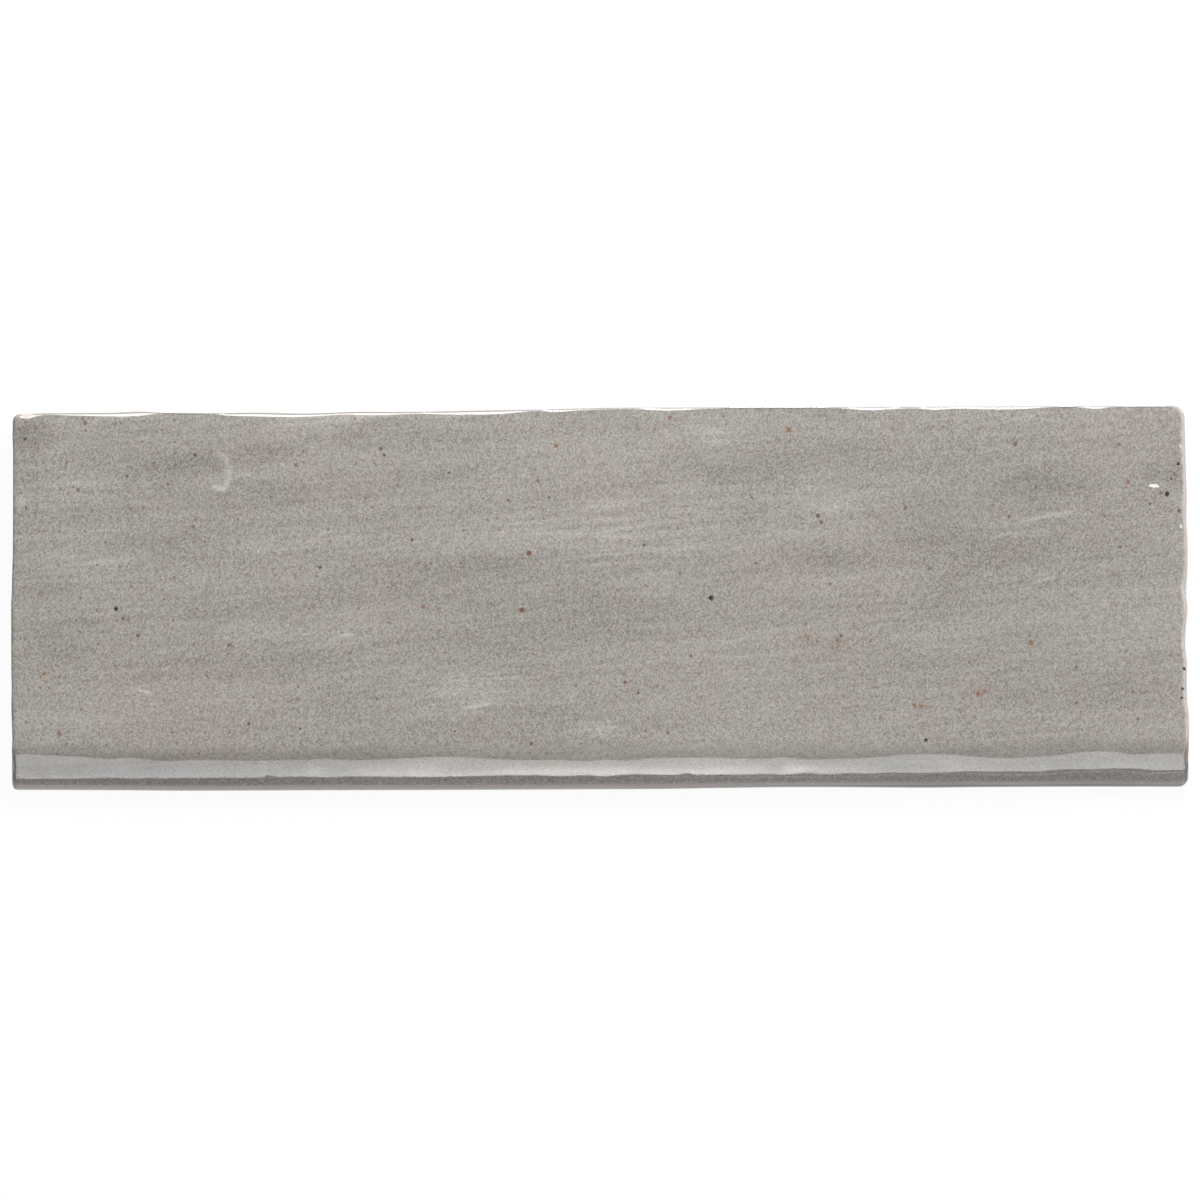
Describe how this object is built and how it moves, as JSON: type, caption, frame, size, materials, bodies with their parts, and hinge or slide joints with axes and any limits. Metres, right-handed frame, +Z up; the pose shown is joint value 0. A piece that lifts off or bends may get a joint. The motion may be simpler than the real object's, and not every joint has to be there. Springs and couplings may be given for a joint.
{
  "type": "bullnose trim tile",
  "caption": "Long grey glazed wall tile with one rounded long edge, used to finish the exposed edge of a tiled wall.",
  "frame": {"origin": "on the bedding plane, under the middle of the tile", "axes": "+X along the tile, +Y from the rounded front edge to the butt edge, +Z up out of the glazed face"},
  "size_m": [0.2, 0.065, 0.009],
  "materials": {
    "glazed_clay": "glossy warm grey glaze with a faint cloudy brushing, over a pale clay body"
  },
  "bodies": {
    "root": {"trim_tile": "glazed_clay"}
  },
  "joints": []
}
